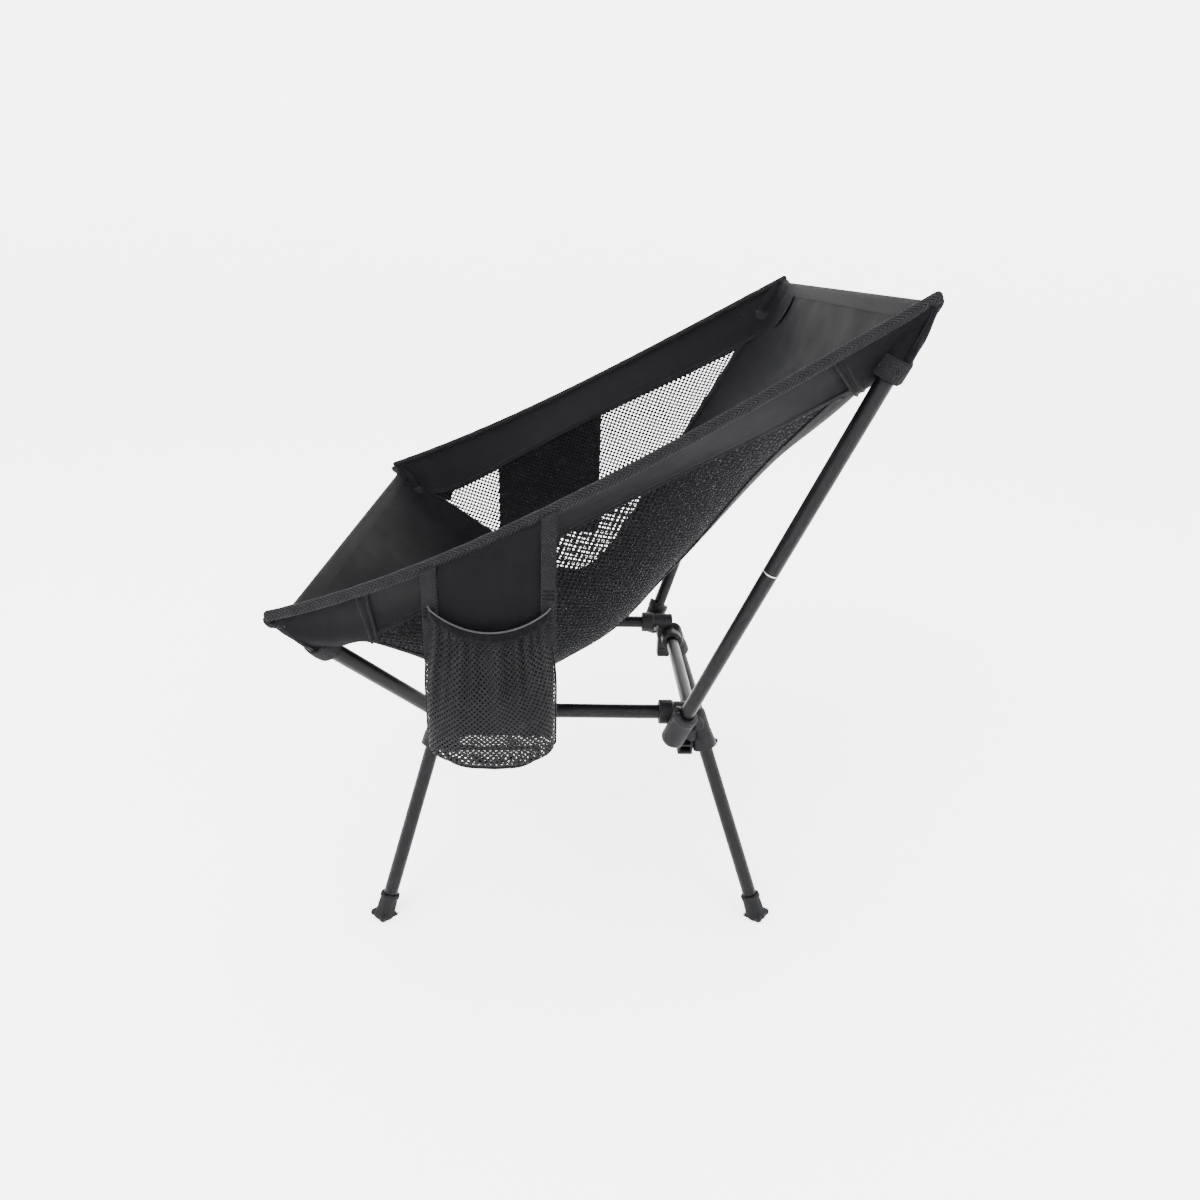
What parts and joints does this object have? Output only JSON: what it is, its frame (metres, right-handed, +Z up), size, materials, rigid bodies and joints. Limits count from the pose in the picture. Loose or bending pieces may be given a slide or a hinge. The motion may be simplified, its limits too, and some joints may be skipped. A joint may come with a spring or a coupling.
{
  "type": "ultralight backpacking chair",
  "caption": "Low bucket seat of black fabric and mesh hung by its corners from poles that plug into a two-rail hub base on splayed rubber-footed legs.",
  "frame": {"origin": "centre of the bounding box in plan, on the ground under the four feet", "axes": "+Z up; the seat faces -Y and leans back towards +Y; +X is the sitter's left, the side with the drink pocket"},
  "size_m": [0.5508, 0.502, 0.6301],
  "materials": {
    "tube_black": "black anodised, satin",
    "ferrule_bare": "bare satin",
    "hub_nylon": "matte moulded glass-filled nylon",
    "tip_plastic": "matte moulded",
    "rivet_black": "black oxide",
    "foot_rubber": "matte moulded",
    "shock_cord": "braided elastic cord",
    "oxford_black": "coated ripstop oxford, fine square grain",
    "mesh_black": "open warp-knit mesh",
    "binding_rope": "herringbone edge binding tape",
    "webbing_black": "ribbed webbing"
  },
  "bodies": {
    "base": {"hub_front_left": "hub_nylon", "hub_front_right": "hub_nylon", "hub_rear_left": "hub_nylon", "hub_rear_right": "hub_nylon", "rail_rivet_front_left": "rivet_black", "cross_rivet_front_left": "rivet_black", "rail_rivet_front_right": "rivet_black", "cross_rivet_front_right": "rivet_black", "rail_rivet_rear_left": "rivet_black", "cross_rivet_rear_left": "rivet_black", "rail_rivet_rear_right": "rivet_black", "cross_rivet_rear_right": "rivet_black", "side_rail_left": "tube_black", "side_rail_right": "tube_black", "cross_rail_front": "tube_black", "cross_rail_rear": "tube_black"},
    "leg_front_left_body": {"leg_front_left": "tube_black", "foot_front_left": "foot_rubber", "leg_cord_front_left": "shock_cord"},
    "leg_front_right_body": {"leg_front_right": "tube_black", "foot_front_right": "foot_rubber", "leg_cord_front_right": "shock_cord"},
    "leg_rear_left_body": {"leg_rear_left": "tube_black", "foot_rear_left": "foot_rubber", "leg_cord_rear_left": "shock_cord"},
    "leg_rear_right_body": {"leg_rear_right": "tube_black", "foot_rear_right": "foot_rubber", "leg_cord_rear_right": "shock_cord"},
    "front_pole_left_body": {"front_pole_left": "tube_black", "pole_tip_front_left": "tip_plastic", "front_pole_cord_left": "shock_cord"},
    "back_pole_lower_left_body": {"back_pole_lower_left": "tube_black", "back_pole_ferrule_left": "ferrule_bare", "back_pole_cord_left": "shock_cord"},
    "back_pole_upper_left_body": {"back_pole_upper_left": "tube_black", "pole_tip_rear_left": "tip_plastic"},
    "front_pole_right_body": {"front_pole_right": "tube_black", "pole_tip_front_right": "tip_plastic", "front_pole_cord_right": "shock_cord"},
    "back_pole_lower_right_body": {"back_pole_lower_right": "tube_black", "back_pole_ferrule_right": "ferrule_bare", "back_pole_cord_right": "shock_cord"},
    "back_pole_upper_right_body": {"back_pole_upper_right": "tube_black", "pole_tip_rear_right": "tip_plastic"},
    "seat": {"centre_panel": "oxford_black", "edge_binding": "binding_rope", "mesh_panel_left": "mesh_black", "side_band_left": "oxford_black", "mesh_panel_right": "mesh_black", "side_band_right": "oxford_black", "corner_pocket_front_left": "oxford_black", "corner_pocket_front_right": "oxford_black", "corner_pocket_rear_left": "oxford_black", "corner_pocket_rear_right": "oxford_black", "pocket_panel": "oxford_black", "pocket_strap_front": "webbing_black", "pocket_strap_back": "webbing_black", "pocket_mesh_bag": "mesh_black", "pocket_elastic_rim": "webbing_black", "stash_pocket": "oxford_black"}
  },
  "joints": [
    {"name": "seat_lift", "type": "slide", "parent": "base", "child": "seat", "axis": [0, 0, 1], "range_m": [0, 0.45]},
    {"name": "leg_front_left_pull", "type": "slide", "parent": "base", "child": "leg_front_left_body", "axis": [0.291, -0.2675, -0.9186], "range_m": [0, 0.045], "stiffness_N_per_m": 150, "springref_m": -0.05},
    {"name": "leg_rear_left_pull", "type": "slide", "parent": "base", "child": "leg_rear_left_body", "axis": [0.2866, 0.3144, -0.905], "range_m": [0, 0.045], "stiffness_N_per_m": 150, "springref_m": -0.05},
    {"name": "front_pole_left_pull", "type": "slide", "parent": "base", "child": "front_pole_left_body", "axis": [0.5034, -0.5072, 0.6996], "range_m": [0, 0.04]},
    {"name": "back_pole_left_pull", "type": "slide", "parent": "base", "child": "back_pole_lower_left_body", "axis": [0.2131, 0.3213, 0.9227], "range_m": [0, 0.04]},
    {"name": "back_pole_section_left_pull", "type": "slide", "parent": "back_pole_lower_left_body", "child": "back_pole_upper_left_body", "axis": [0.2131, 0.3213, 0.9227], "range_m": [0, 0.035]},
    {"name": "leg_front_right_pull", "type": "slide", "parent": "base", "child": "leg_front_right_body", "axis": [-0.291, -0.2675, -0.9186], "range_m": [0, 0.045], "stiffness_N_per_m": 150, "springref_m": -0.05},
    {"name": "leg_rear_right_pull", "type": "slide", "parent": "base", "child": "leg_rear_right_body", "axis": [-0.2866, 0.3144, -0.905], "range_m": [0, 0.045], "stiffness_N_per_m": 150, "springref_m": -0.05},
    {"name": "front_pole_right_pull", "type": "slide", "parent": "base", "child": "front_pole_right_body", "axis": [-0.5034, -0.5072, 0.6996], "range_m": [0, 0.04]},
    {"name": "back_pole_right_pull", "type": "slide", "parent": "base", "child": "back_pole_lower_right_body", "axis": [-0.2131, 0.3213, 0.9227], "range_m": [0, 0.04]},
    {"name": "back_pole_section_right_pull", "type": "slide", "parent": "back_pole_lower_right_body", "child": "back_pole_upper_right_body", "axis": [-0.2131, 0.3213, 0.9227], "range_m": [0, 0.035]}
  ],
  "couplings": [
    {"joint": "front_pole_left_pull", "follows": "seat_lift", "ratio": 0.0888},
    {"joint": "back_pole_left_pull", "follows": "seat_lift", "ratio": 0.0888},
    {"joint": "back_pole_section_left_pull", "follows": "seat_lift", "ratio": 0.0777},
    {"joint": "front_pole_right_pull", "follows": "seat_lift", "ratio": 0.0888},
    {"joint": "back_pole_right_pull", "follows": "seat_lift", "ratio": 0.0888},
    {"joint": "back_pole_section_right_pull", "follows": "seat_lift", "ratio": 0.0777}
  ]
}
